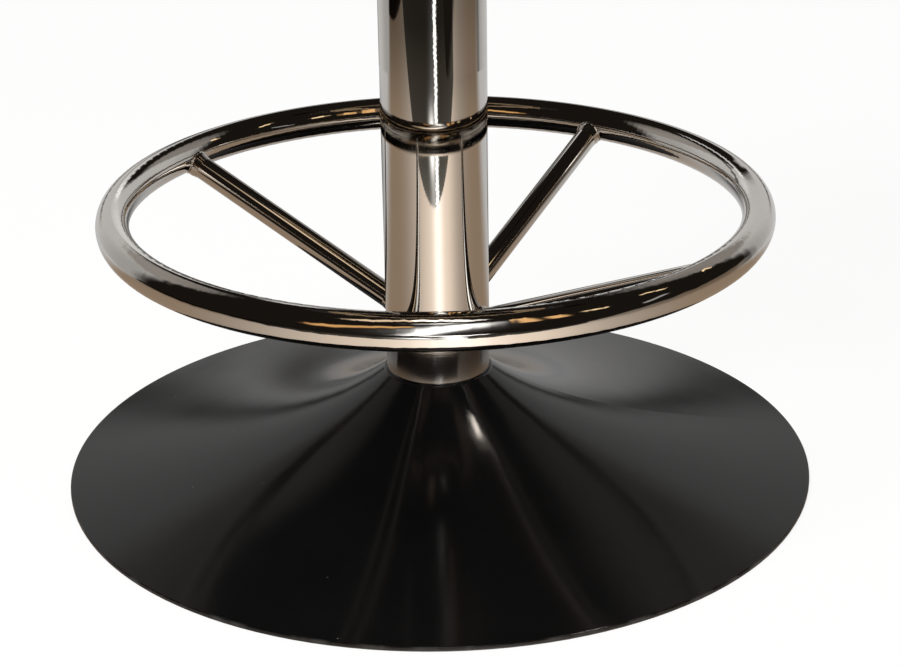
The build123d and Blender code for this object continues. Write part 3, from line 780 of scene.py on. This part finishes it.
# %% Rubber
tree, rubber, place = new_finish("black_rubber")
speckle = grain(tree, place, 0.0015, 3)
chalk = grain(tree, place, 0.02, 3)
colour = shade(tree, vary(tree, chalk, 0.45, 0.75, 0, 1), (0.012, 0.012, 0.012), (0.040, 0.038, 0.036))
grained("black_rubber", tree, rubber, colour, speckle, rough=(0.6, 0.82), depth=0.00008)

# %% Trim
tree, trim, place = new_finish("black_trim")
drawn = grain(tree, lathe_lines(tree, place), 0.0009, 2)
scuff = grain(tree, place, 0.012, 4)
colour = shade(tree, vary(tree, scuff, 0.5, 0.75, 0, 1), (0.014, 0.014, 0.014), (0.055, 0.052, 0.05))
grained("black_trim", tree, trim, colour, drawn, rough=(0.32, 0.52), depth=0.00002)

# %% Nylon
tree, nylon, place = new_finish("bush_nylon", subsurface_weight=0.1)
turned_lines = grain(tree, lathe_lines(tree, place), 0.0007, 2)
soiling = grain(tree, place, 0.008, 3)
colour = shade(tree, soiling, (0.72, 0.69, 0.60), (0.58, 0.54, 0.44))
grained("bush_nylon", tree, nylon, colour, turned_lines, rough=(0.35, 0.55), depth=0.00001)

# %% Plywood
PLY, GLUE_LINE = 0.0014, 0.00025
EDGE_FROM, BOARD_RIM = 0.1815, 0.183
tree, ply, place = new_finish("plywood")
fibre = grain(tree, stretched(tree, place, (1, 9, 9)), 0.02, 5)
figure = grain(tree, stretched(tree, place, (1, 3.5, 3.5)), 0.09, 3)
layer = sums(tree, "PINGPONG", height_of(tree, place), PLY)
glue = vary(tree, layer, 0, GLUE_LINE, 1, 0)
edge = vary(tree, radius_of(tree, place), EDGE_FROM, BOARD_RIM, 0, 1)
colour = shade(tree, fibre, (0.58, 0.43, 0.27), (0.44, 0.30, 0.17))
colour = shade(tree, vary(tree, figure, 0.45, 0.7, 0, 0.5), colour, (0.36, 0.23, 0.12))
colour = shade(tree, sums(tree, "MULTIPLY", glue, edge), colour, (0.10, 0.055, 0.03))
grained("plywood", tree, ply, colour, fibre, rough=(0.55, 0.75), depth=0.00012)

# %% [markdown]
# ## Upholstery vinyl and thread
# The seat is covered with a leather-grained vinyl: rounded pebbles a millimetre or two across with fine
# valleys between them, shinier and lighter on the tops, with painted shade in the valleys. A picture of
# leather would repeat and needs flattening out, so the pebbles are distances to scattered points. The
# stitches are twisted thread, so their gloss and relief run in bands, and their grooves carry painted shade.

# %% Vinyl
tree, vinyl, place = new_finish("black_vinyl", specular_ior_level=0.42)
cells = pebbles(tree, place, 0.0016, "SMOOTH_F1")
crease = grain(tree, place, 0.006, 4)
sat_on = grain(tree, place, 0.06, 3)
hide = sums(tree, "ADD", sums(tree, "MULTIPLY", cells, -0.8), sums(tree, "MULTIPLY", crease, 0.7))
# Painted shade: the colour is lighter on the pebble tops and darker in the valleys between them.
colour = shade(tree, vary(tree, cells, 0.2, 0.7, 0, 1), (0.019, 0.0185, 0.018), (0.011, 0.0108, 0.0105))
rough = sums(tree, "ADD", vary(tree, cells, 0.2, 0.7, 0.36, 0.46), vary(tree, sat_on, 0.4, 0.7, 0, 0.08))
feed(tree, vinyl, base_color=colour, roughness=rough)
relief(tree, vinyl, hide, 0.00022)
print("black_vinyl of", len(tree.nodes), "nodes")

# %% Thread
TWIST_SCALE, TWIST_UNEVEN = 620.0, 2.0
tree, thread, place = new_finish("black_thread")
bands = {"Vector": place, "Scale": TWIST_SCALE, "Distortion": TWIST_UNEVEN}
twist = add(tree, "ShaderNodeTexWave", bands)
# Painted shade: lighter on the twist's raised bands, darker in the grooves between them.
colour = shade(tree, twist, (0.012, 0.012, 0.012), (0.035, 0.034, 0.033))
feed(tree, thread, base_color=colour, roughness=vary(tree, twist, 0, 1, 0.62, 0.42))
relief(tree, thread, twist, 0.0001)
print("all finishes:", sorted(FINISHES))

# %% [markdown]
# ## Dress the solids
# Every solid carries a placeholder material named after its slot in the record. The finish of the same name
# goes into that slot, so a new solid with an old slot is dressed without a new line. Only the foam has no
# finish: the cushion that is made below stands for it, so it never shows.

# %% Dress the solids
dressed = {}
for name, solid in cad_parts.items():
    slot = solid.material_slots[0].material.name
    if slot in FINISHES:
        solid.material_slots[0].material = FINISHES[slot]
        dressed.setdefault(slot, []).append(name)
print({slot: len(names) for slot, names in dressed.items()})


# %% Piece helper


def piece(name, mesh, body, finish):
    """A new piece of the stool that moves with a body and takes its finish from a slot."""
    made = linked(name, mesh)
    mesh.materials.append(FINISHES[finish])
    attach(made, body)
    return made


# %% [markdown]
# ## Weld beads
# The spokes are coped to the column and the ring and welded all round, and the welds are ground and buffed
# with the rest. A bead follows the line where a cylinder round the spoke's axis meets the tube, a curve
# that has a formula on the column and takes a few rounds of correction on the ring. A small round section
# carried along that line, slightly rippled, gives each weld.

# %% Round helpers


def full_turn(steps):
    """Equal steps of angle once round, without the last, which is the first again."""
    return np.linspace(0, 2 * np.pi, steps, endpoint=False)


def round_points(radius, angle, height):
    """Points about the column from radius, angle and height: (r cos a, r sin a, z)."""
    points = np.broadcast_arrays(radius * np.cos(angle), radius * np.sin(angle), height)
    return np.stack(points, axis=-1)


# %% Spoke and bead sizes
COLUMN_RADIUS, RING_RADIUS, RING_HEIGHT = 0.035, 0.2124, 0.1874
TUBE_HALF_WIDTH, TUBE_HALF_HEIGHT = 0.0109, 0.0118
SPOKE_FOOT, SPOKE_DROP = np.array([COLUMN_RADIUS, 0, 0.1128]), 0.0020
spoke_run = np.array([RING_RADIUS, 0, RING_HEIGHT - SPOKE_DROP]) - SPOKE_FOOT
SPOKE_LENGTH = np.linalg.norm(spoke_run)
ALONG = spoke_run / SPOKE_LENGTH
ASIDE = np.array([0, 1, 0])
ABOVE = np.cross(ASIDE, ALONG)
SPOKE_COUNT, FIRST_SPOKE = 4, np.pi / 4
COLUMN_TOE, COLUMN_BEAD = 0.0088, 0.0011
RING_TOE, RING_BEAD = 0.0086, 0.0010
BEAD_STEPS, BEAD_SECTION = 72, 12
print("spoke axis", round(float(SPOKE_LENGTH) * 1000, 1), "mm long")

# %% Weld bead shape


def round_the_spoke(reach):
    """Turns round the spoke, outward directions cos aside + sin above, and points at a reach from it."""
    turn = full_turn(BEAD_STEPS)[:, None]
    outward = np.cos(turn) * ASIDE + np.sin(turn) * ABOVE
    return turn, outward, SPOKE_FOOT + reach * outward


def toe_on_column(reach):
    """Where the cylinder meets the column: x = root of R^2 - y^2, which gives the step along the spoke."""
    turn, outward, start = round_the_spoke(reach)
    x = np.sqrt(COLUMN_RADIUS**2 - start[:, 1] ** 2)
    return turn, outward, start + ((x - start[:, 0]) / ALONG[0])[:, None] * ALONG


def toe_on_ring(reach, rounds=40):
    """Where the cylinder meets the ring: step along the spoke by what is missing to the oval tube."""
    turn, outward, toe = round_the_spoke(reach)
    toe = toe + (SPOKE_LENGTH - 2 * TUBE_HALF_WIDTH) * ALONG
    for _ in range(rounds):
        across = (np.hypot(toe[:, 0], toe[:, 1]) - RING_RADIUS) / TUBE_HALF_WIDTH
        missing = np.hypot(across, (toe[:, 2] - RING_HEIGHT) / TUBE_HALF_HEIGHT) - 1
        toe = toe + TUBE_HALF_WIDTH * missing[:, None] * ALONG
    return turn, outward, toe


# %% Weld bead along its toe


def bead(toe_line, thickness):
    """Round section carried along a toe line, its radius rippled by two sines."""
    turn, outward, toe = toe_line
    ripple = 1 + 0.10 * np.sin(19 * turn) + 0.05 * np.sin(7 * turn + 1)
    section = full_turn(BEAD_SECTION)
    side = np.cos(section)[None, :, None] * outward[:, None] + np.sin(section)[None, :, None] * ALONG
    return toe[:, None] + (thickness * ripple)[:, None] * side


def round_copies(points, count, first):
    """Copies of points turned about the column by equal steps."""
    angle = first + 2 * np.pi * np.arange(count) / count
    zero, one = np.zeros(count), np.ones(count)
    rows = [[np.cos(angle), np.sin(angle), zero], [-np.sin(angle), np.cos(angle), zero], [zero, zero, one]]
    return np.einsum("...i,ijc->c...j", points, np.array(rows))


# %% Weld beads in place
column_beads = round_copies(bead(toe_on_column(COLUMN_TOE), COLUMN_BEAD), SPOKE_COUNT, FIRST_SPOKE)
ring_beads = round_copies(bead(toe_on_ring(RING_TOE), RING_BEAD), SPOKE_COUNT, FIRST_SPOKE)
bead_mesh = grid_mesh("weld_beads", np.concatenate([column_beads, ring_beads]), wrap_rows=True)
piece("weld_beads", bead_mesh, "frame", "polished_steel")
print(2 * SPOKE_COUNT, "weld beads,", len(bead_mesh.polygons), "faces")

# %% [markdown]
# ## The seat cushion
# The cushion is foam under a vinyl top panel that is sewn to the side band, so it is pinned along the seam
# and swells between. A turned solid would look like a lid. A square grid is bent into a disc instead,
# because its even faces swell evenly, carried over the shoulder and down to the board.

# %% Seat cushion sizes
SEAM_RADIUS, SEAM_HEIGHT = 0.185, 0.664
BOARD_TOP, PAD_SIDE = 0.6233, 0.1832
PAD_STEPS, LIP_RADIUS = 97, 0.1868
START_CROWN, FULL_CROWN = 0.0215, 0.0258
CROWN_FLATNESS, CROWN_FALL = 3, 0.646
PROFILE_SHARE = (0, 0.80, 0.835, 0.86, 0.88, 1)
PROFILE_RADIUS = (0, 0.1835, LIP_RADIUS, 0.1836, PAD_SIDE, PAD_SIDE)
PROFILE_HEIGHT = (0.6659, 0.6649, 0.6645, 0.6620, BOARD_TOP)


def disc_grid(steps):
    """Square grid bent into a disc: the larger of |u| and |v| is the radius, and their ratio the angle."""
    u, v = np.meshgrid(np.linspace(-1, 1, steps), np.linspace(-1, 1, steps))
    wide = np.abs(u) >= np.abs(v)
    longer = np.where(wide, u, v)
    ratio = np.divide(np.where(wide, v, u), longer, out=np.zeros_like(u), where=longer != 0)
    angle = np.where(wide, ratio * np.pi / 4, np.pi / 2 - ratio * np.pi / 4)
    return np.abs(longer), np.where(longer < 0, angle + np.pi, angle)


# %% Crown and gathers


def crown_height(radius, crown):
    """Height of the top panel: seam height plus crown times (1 - (r / seam radius)^3)^0.646."""
    share = np.clip(radius / SEAM_RADIUS, 0, 1)
    return SEAM_HEIGHT + crown * (1 - share**CROWN_FLATNESS) ** CROWN_FALL


def gathers(angle):
    """Uneven gathers round the seam: a fast wave whose strength comes and goes, between -1 and 1."""
    return np.cos(61 * angle + 2 * np.sin(5 * angle)) * (0.6 + 0.4 * np.sin(7 * angle + 0.8))


# %% Seat cushion


def cushion_points(steps):
    """Two discs that share their border: the panel and sides above, and the flat foot on the board below."""
    share, angle = disc_grid(steps)
    radius = np.interp(share, PROFILE_SHARE, PROFILE_RADIUS)
    side = np.interp(share, PROFILE_SHARE[1:], PROFILE_HEIGHT)
    height = np.where(share < PROFILE_SHARE[1], crown_height(radius, START_CROWN), side)
    upper = round_points(radius, angle, height)
    lower = round_points(PAD_SIDE * share, angle, BOARD_TOP)
    return np.stack([upper, lower[:, ::-1]])


pad_mesh = grid_mesh("seat_cushion", cushion_points(PAD_STEPS), wrap_columns=False, sewn=True)
cushion = piece("seat_cushion", pad_mesh, "seat", "black_vinyl")
print("cushion grid", PAD_STEPS, "by", PAD_STEPS, "encloses", round(enclosed(pad_mesh) * 1000, 2), "litres")

# %% [markdown]
# ## Swelling
# Foam presses the sewn cover outwards, so a real cushion is fullest in the middle and dips along its seam.
# The seam's gathers and the hollow of a used seat are added afterwards.

# %% Cloth solver
SWELL_FRAMES, SWELL_LIMIT, PRESSURE = 20, 0.0055, 4


def swell(soft, held):
    """Cloth blown up by pressure, held points fixed; gives how far each point moved, at most the limit."""
    before = vertices_of(soft.data).copy()
    sewn = soft.vertex_groups.new(name="sewn")
    sewn.add(np.flatnonzero(held).tolist(), 1.0, "REPLACE")
    cloth = soft.modifiers.new("swell", "CLOTH")
    cloth.settings.vertex_group_mass = "sewn"
    cloth.settings.use_pressure = True
    cloth.settings.uniform_pressure_force = PRESSURE
    cloth.settings.effector_weights.gravity = 0
    cloth.collision_settings.use_collision = False
    for step in range(1, SWELL_FRAMES + 1):
        bpy.context.scene.frame_set(step)
    result = soft.evaluated_get(bpy.context.evaluated_depsgraph_get())
    moved = vertices_of(result.to_mesh()) - before
    result.to_mesh_clear()
    soft.modifiers.remove(cloth)
    bpy.context.scene.frame_set(1)
    length = np.linalg.norm(moved, axis=1, keepdims=True)
    return moved * np.minimum(1, SWELL_LIMIT / np.maximum(length, 1e-9))


# %% Gathers and hollow
GATHER_DEPTH, GATHER_INSET, GATHER_WIDTH = 0.0005, 0.007, 0.009
HOLLOW_DEPTH, HOLLOW_WIDTH, LOBE_START = 0.0006, 0.09, 0.05


def seam_gather(radius, angle):
    """Drop of the panel beside the seam: gathers times a bell that is highest a little way in from it."""
    return GATHER_DEPTH * gathers(angle) * bell(radius, SEAM_RADIUS - GATHER_INSET, GATHER_WIDTH)


def seat_hollow(radius, angle):
    """Hollow of a used seat: a bell about the middle, with three soft lobes that die out at its centre."""
    lobes = np.cos(3 * angle + 1) * (1 - np.exp(-((radius / LOBE_START) ** 3)))
    return HOLLOW_DEPTH * bell(radius, 0, HOLLOW_WIDTH) * (1 + lobes)


# %% Swell the cushion
PANEL_ABOVE_SEAM, PANEL_MARGIN, HELD_FROM = 0.0012, 0.0005, 0.178
points = vertices_of(pad_mesh).astype(float)
radius, angle = np.hypot(points[:, 0], points[:, 1]), np.arctan2(points[:, 1], points[:, 0])
panel = (points[:, 2] > SEAM_HEIGHT + PANEL_ABOVE_SEAM) & (radius < PROFILE_RADIUS[1] + PANEL_MARGIN)
points += swell(cushion, ~panel | (radius > HELD_FROM))
points[:, 2] -= np.where(panel, seam_gather(radius, angle), 0)
points[:, 2] -= np.where(panel, seat_hollow(radius, angle), 0)
pad_mesh.vertices.foreach_set("co", points.astype(np.float32).ravel())
pad_mesh.update()
smooth = cushion.modifiers.new("smooth", "SUBSURF")
smooth.levels = smooth.render_levels = 1
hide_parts("seat_foam", "seat_top_panel")
print("cushion crown at", round(float(points[:, 2].max()) * 1000, 1), "mm")

# %% [markdown]
# ## Side band
# The band is a strip of the same vinyl, closed to a loop, sewn to the top panel above and pulled under the
# board below, where it is stapled. It is a thin shell: one closed outline of its thickness carried round
# the seat. The sewing gathers it slightly along the seam, and the turned-under hem lies in small pleats
# because it has to fit a smaller circle.

# %% Side band outline
VINYL, BAND_FOOT, BULGE = 0.0013, 0.607, 0.005
BAND_MIDDLE = (BAND_FOOT + SEAM_HEIGHT) / 2
TURN_CENTRE, TURN_RADIUS, HEM_EDGE = 0.1814, 0.0036, 0.153
BAND_ROWS, TURN_ROWS, HEM_ROWS = 22, 5, 11
BAND_SEAM_ANGLE = np.radians(79)
BAND_GATHER, BAND_GATHER_BELOW, BAND_GATHER_WIDTH = 0.0004, 0.010, 0.012
JOINT_RIDGE, JOINT_HALF, JOINT_GROOVE = 0.0008, 0.006, 0.002  # a ridge with a finer groove along it
PLEAT_DEPTH, PLEAT_START = 0.0009, 0.02


def band_side(inset):
    """Outline of one face of the band from seam to hem: a parabola, a quarter turn and a straight hem."""
    down = np.linspace(SEAM_HEIGHT, BAND_FOOT, BAND_ROWS)
    out = SEAM_RADIUS - inset + BULGE * (1 - ((down - BAND_MIDDLE) / (SEAM_HEIGHT - BAND_MIDDLE)) ** 2)
    turn = np.linspace(0, np.pi / 2, TURN_ROWS + 1)[1:]
    size = TURN_RADIUS - inset
    under = np.linspace(TURN_CENTRE, HEM_EDGE, HEM_ROWS + 1)[1:]
    radius = np.concatenate([out, TURN_CENTRE + size * np.cos(turn), under])
    height = np.concatenate([down, BAND_FOOT - size * np.sin(turn), np.full(HEM_ROWS, BAND_FOOT - size)])
    return np.stack([radius, height], axis=-1)


# %% Side band


def side_band(columns=720):
    """The outline carried round the seat, with gathers at the seam, pleats in the hem and one sewn joint."""
    outline = np.concatenate([band_side(0), band_side(VINYL)[::-1]])
    angle = full_turn(columns)
    radius, height = outline[:, :1], outline[:, 1:]
    side = height > BAND_FOOT
    by_seam = side * bell(height, SEAM_HEIGHT - BAND_GATHER_BELOW, BAND_GATHER_WIDTH)
    radius = radius + BAND_GATHER * by_seam * gathers(angle + 0.02)
    joint = bell(angle, BAND_SEAM_ANGLE, JOINT_HALF) - 0.7 * bell(angle, BAND_SEAM_ANGLE, JOINT_GROOVE)
    radius = radius + JOINT_RIDGE * joint * side
    hem = ease(TURN_CENTRE - radius, 0, PLEAT_START)
    pleat = np.abs(np.sin(27 * angle + 0.7 * np.sin(4 * angle))) ** 6
    height = height - PLEAT_DEPTH * hem * pleat
    return round_points(radius, angle, height)


band_mesh = grid_mesh("seat_band", side_band(), wrap_rows=True)
band = piece("seat_band", band_mesh, "seat", "black_vinyl")
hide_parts("seat_side_band")
print("side band of", len(band_mesh.polygons), "faces")

# %% [markdown]
# ## Piping
# Piping is a cord in a folded strip of vinyl, sewn into the seam to stiffen the edge. A torus would do from
# afar, but the real ring is never a perfect one: the strip puckers slightly where the curve squeezes it,
# and its two ends lap at the band's joint. A round section whose radius changes along the ring gives both.

# %% Piping
PIPING_CENTRE, PIPING_RADIUS = 0.18904, 0.0035
PUCKERS, PUCKER_DEPTH = 130, 0.018
LAP_LENGTH, LAP_SLOPE, LAP_THICKNESS = 0.07, 0.01, 0.07


def piping(columns=540, around=18):
    """Ring of round section, its radius puckered by a fast wave and thicker where its two ends lap."""
    angle = full_turn(columns)[None]
    section = full_turn(around)[:, None]
    wave = 1 + np.cos(PUCKERS * angle + 3 * np.sin(3 * angle))
    pucker = 1 - PUCKER_DEPTH * wave * (0.5 - 0.5 * np.cos(section))
    lap_start = BAND_SEAM_ANGLE - LAP_LENGTH
    lap = ease(angle, lap_start, lap_start + LAP_SLOPE) * (angle < BAND_SEAM_ANGLE)
    size = PIPING_RADIUS * (pucker + LAP_THICKNESS * lap)
    radius = PIPING_CENTRE + size * np.cos(section)
    return round_points(radius, angle, SEAM_HEIGHT + size * np.sin(section))


piping_mesh = grid_mesh("piping", piping(), wrap_rows=True)
piping_piece = piece("seat_welt", piping_mesh, "seat", "black_vinyl")
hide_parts("seat_piping")
print("piping of", len(piping_mesh.polygons), "faces")

# %% [markdown]
# ## Stitches
# A row of top stitches runs just inside the seam and holds the allowance flat. One stitch is a short thread
# that dives into the vinyl at both ends. The same small shape is worked out for all of them at once, each
# lying along the seam on the slope of the panel.

# %% Stitches
STITCH_COUNT, STITCH_RADIUS, STITCH_LENGTH, THREAD = 228, 0.1785, 0.0037, 0.00045
STITCH_LIFT, STITCH_DIP = 0.0002, 0.0005
STITCH_STEPS, STITCH_SIDES = 5, 6
SLOPE_STEP = 0.0005


def stitches():
    """Threads along the seam: a bow that stands on the panel, with both ends pinched and dipped under it."""
    angle = 2 * np.pi * np.arange(STITCH_COUNT)[:, None, None] / STITCH_COUNT
    along = np.linspace(-1, 1, STITCH_STEPS)[None, :, None]
    section = full_turn(STITCH_SIDES)[None, None]
    thread = THREAD * np.sqrt(1.04 - along**4)
    outer = crown_height(STITCH_RADIUS + SLOPE_STEP, START_CROWN)
    inner = crown_height(STITCH_RADIUS - SLOPE_STEP, START_CROWN)
    tilt = np.arctan((outer - inner) / (2 * SLOPE_STEP))
    here = angle + along * STITCH_LENGTH / 2 / STITCH_RADIUS
    lift = thread * np.sin(section) + STITCH_LIFT - STITCH_DIP * along**2
    out = thread * np.cos(section)
    radius = STITCH_RADIUS + out * np.cos(tilt) - lift * np.sin(tilt)
    height = crown_height(STITCH_RADIUS, START_CROWN) - seam_gather(STITCH_RADIUS, here)
    height = height + out * np.sin(tilt) + lift * np.cos(tilt)
    return round_points(radius, here, height)


stitch_mesh = grid_mesh("seam_stitches", stitches(), capped=True)
piece("seam_stitches", stitch_mesh, "seat", "black_thread")
print(STITCH_COUNT, "stitches,", len(stitch_mesh.polygons), "faces")

# %% [markdown]
# ## Staples
# The hem is stapled to the underside of the board about every 28 mm, by hand, so the staples are never
# quite in line. A staple is a flat wire bent into a bracket: a path of seven points with a flattened
# section, turned a little at random from a fixed seed.

# %% Staples
STAPLE_COUNT, STAPLE_CIRCLE, HEM_HEIGHT = 36, 0.1625, 0.6034
TURN_SPREAD, SHIFT_SPREAD = 0.10, 0.0008
WIRE_HALF_WIDTH, WIRE_HALF_THICKNESS, WIRE_SIDES = 0.00062, 0.00032, 8
# Across and up along one staple, in millimetres.
BRACKET = ((-5, 1.6), (-5, 0.1), (-4.5, -0.55), (0, -0.7), (4.5, -0.55), (5, 0.1), (5, 1.6))


def staples():
    """Flattened section carried along a bracket, set round the hem with small random turns and shifts."""
    draw = np.random.default_rng(19)
    turn, shift = draw.normal(0, TURN_SPREAD, STAPLE_COUNT), draw.normal(0, SHIFT_SPREAD, STAPLE_COUNT)
    path = np.array(BRACKET) / 1000
    ahead = np.gradient(path, axis=0)
    ahead /= np.linalg.norm(ahead, axis=1, keepdims=True)
    section = full_turn(WIRE_SIDES) + np.pi / WIRE_SIDES
    flat, thick = WIRE_HALF_WIDTH * np.cos(section), WIRE_HALF_THICKNESS * np.sin(section)
    x = path[:, :1] - ahead[:, 1:] * thick
    z = path[:, 1:] + ahead[:, :1] * thick
    y = np.broadcast_to(flat, x.shape)
    cos, sin = np.cos(turn)[:, None, None], np.sin(turn)[:, None, None]
    side, out = x * cos - y * sin, x * sin + y * cos + STAPLE_CIRCLE + shift[:, None, None]
    angle = (2 * np.pi * np.arange(STAPLE_COUNT) / STAPLE_COUNT)[:, None, None]
    points = [out * np.cos(angle) - side * np.sin(angle), out * np.sin(angle) + side * np.cos(angle)]
    return np.stack([*points, np.broadcast_to(z + HEM_HEIGHT, out.shape)], axis=-1)


staple_mesh = grid_mesh("hem_staples", staples(), capped=True)
piece("hem_staples", staple_mesh, "seat", "bright_steel")
print(STAPLE_COUNT, "staples,", len(staple_mesh.polygons), "faces")
